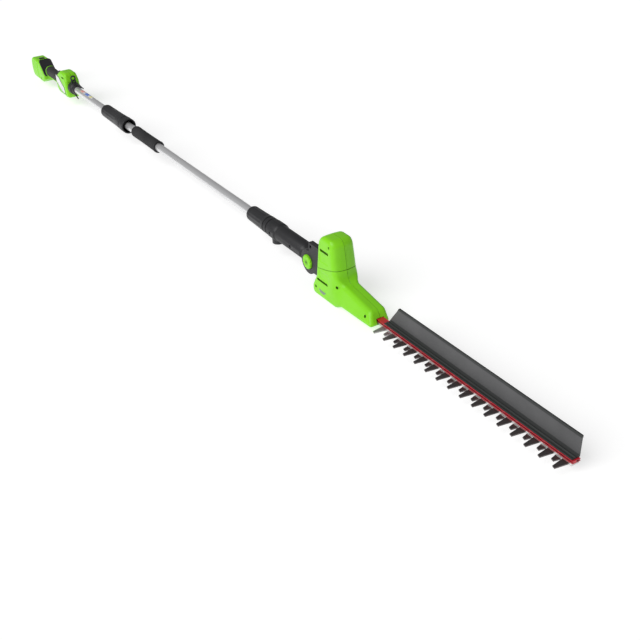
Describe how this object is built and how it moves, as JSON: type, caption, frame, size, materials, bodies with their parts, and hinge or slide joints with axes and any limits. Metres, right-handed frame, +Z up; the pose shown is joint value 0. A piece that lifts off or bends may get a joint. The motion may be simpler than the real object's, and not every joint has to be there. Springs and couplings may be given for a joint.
{
  "type": "pole hedge trimmer",
  "caption": "Battery pole hedge trimmer with a tilting head, single-sided reciprocating blades, a two-part aluminium pole and an in-line trigger handle.",
  "frame": {"origin": "on the pole's axis, at the strap clamp's place on the bare front pole", "axes": "+X along the pole towards the blade tip, +Z up, teeth towards -Y"},
  "size_m": [2.778, 0.065, 0.147],
  "materials": {
    "green_shell": "satin moulded",
    "dark_plastic": "fine texture",
    "overmould": "soft matte",
    "foam": "closed-cell foam",
    "tube": "satin anodised",
    "bar_red": "anodised red",
    "blade_steel": "ground and blackened",
    "steel": "bright",
    "gear_steel": "oiled",
    "cast_plate": "as cast",
    "cell_wrap": "shrink sleeve",
    "cable_skin": "matte",
    "badge": "gloss",
    "board": "solder mask"
  },
  "bodies": {
    "handle": {"rear_pole_tube": "tube", "rear_pole_cable": "cable_skin", "rear_pole_socket": "dark_plastic", "pole_collar": "dark_plastic", "handle_shell_left": "green_shell", "handle_shell_right": "green_shell", "handle_screws": "steel", "trigger_pin": "steel", "grip_sleeve": "overmould", "rear_bezel": "dark_plastic", "side_badge": "badge", "switch_body": "dark_plastic", "control_board": "board", "terminal_block": "dark_plastic"},
    "battery_pack": {"battery_case": "green_shell", "battery_lid": "green_shell", "battery_cells": "cell_wrap"},
    "latch": {"battery_latch": "dark_plastic"},
    "trigger_arm": {"trigger": "dark_plastic"},
    "lock_button": {"lock_off_button": "dark_plastic"},
    "rear_collar": {"twist_collar": "dark_plastic"},
    "front_pole": {"front_pole_tube": "tube", "front_pole_cable": "cable_skin", "front_pole_rear_plug": "dark_plastic", "front_pole_front_plug": "dark_plastic", "foam_grip": "foam", "foam_end_ring": "dark_plastic"},
    "coupler_nut": {"front_coupler_nut": "dark_plastic"},
    "neck": {"neck_socket": "dark_plastic", "neck_shell_left": "dark_plastic", "neck_shell_right": "dark_plastic", "neck_screws": "steel"},
    "head": {"head_shell_left": "green_shell", "head_shell_right": "green_shell", "head_screws": "steel", "head_yoke": "dark_plastic", "motor_can": "steel", "gear_plate": "cast_plate", "crank_axle": "steel", "blade_support_bar": "bar_red", "blade_washers": "steel", "blade_bolts": "steel", "hedge_sweep": "dark_plastic", "tilt_spring": "steel"},
    "tilt_lock": {"tilt_lock_knob": "green_shell", "tilt_spindle": "steel"},
    "rotor": {"motor_shaft": "gear_steel"},
    "crank": {"crank_gear": "gear_steel"},
    "long_blade": {"long_tooth_blade": "blade_steel", "long_blade_link": "steel"},
    "short_blade": {"short_tooth_blade": "blade_steel", "short_blade_link": "steel"}
  },
  "joints": [
    {"name": "battery_slide", "type": "slide", "parent": "handle", "child": "battery_pack", "axis": [-1, 0, 0], "range_m": [0, 0.06]},
    {"name": "battery_latch_press", "type": "slide", "parent": "battery_pack", "child": "latch", "axis": [0, 0, -1], "range_m": [0, 0.0015], "stiffness_N_per_m": 900},
    {"name": "trigger_pull", "type": "hinge", "parent": "handle", "child": "trigger_arm", "pos_m": [-1.125, 0, -0.011], "axis": [0, 1, 0], "range_deg": [0, 9], "stiffness_Nm_per_rad": 0.8},
    {"name": "lock_off_press", "type": "slide", "parent": "handle", "child": "lock_button", "axis": [0, 0, -1], "range_m": [0, 0.0035], "stiffness_N_per_m": 700},
    {"name": "rear_collar_turn", "type": "hinge", "parent": "handle", "child": "rear_collar", "pos_m": [-0.586, 0, 0], "axis": [1, 0, 0], "range_deg": [0, 90]},
    {"name": "front_pole_slide", "type": "slide", "parent": "handle", "child": "front_pole", "axis": [1, 0, 0], "range_m": [0, 0.045]},
    {"name": "coupler_nut_turn", "type": "hinge", "parent": "front_pole", "child": "coupler_nut", "pos_m": [0.353, 0, 0], "axis": [1, 0, 0], "range_deg": [0, 90]},
    {"name": "neck_slide", "type": "slide", "parent": "front_pole", "child": "neck", "axis": [1, 0, 0], "range_m": [0, 0.045]},
    {"name": "head_tilt", "type": "hinge", "parent": "neck", "child": "head", "pos_m": [0.598, 0, 0], "axis": [0, -1, 0], "range_deg": [-75, 75]},
    {"name": "tilt_lock_press", "type": "slide", "parent": "head", "child": "tilt_lock", "axis": [0, 1, 0], "range_m": [0, 0.0045], "stiffness_N_per_m": 1500, "deforming": ["tilt_spring"]},
    {"name": "crank_spin", "type": "hinge", "parent": "head", "child": "crank", "pos_m": [0.705, 0, -0.015], "axis": [0, 0, 1], "continuous": true},
    {"name": "motor_spin", "type": "hinge", "parent": "head", "child": "rotor", "pos_m": [0.68, 0, 0.01], "axis": [0, 0, 1], "continuous": true},
    {"name": "long_blade_stroke", "type": "slide", "parent": "head", "child": "long_blade", "axis": [1, 0, 0], "range_m": [-0.00825, 0.00825]},
    {"name": "short_blade_stroke", "type": "slide", "parent": "head", "child": "short_blade", "axis": [1, 0, 0], "range_m": [-0.00825, 0.00825]}
  ],
  "couplings": [
    {"joint": "motor_spin", "follows": "crank_spin", "ratio": -4},
    {"joint": "short_blade_stroke", "follows": "long_blade_stroke", "ratio": -1}
  ]
}
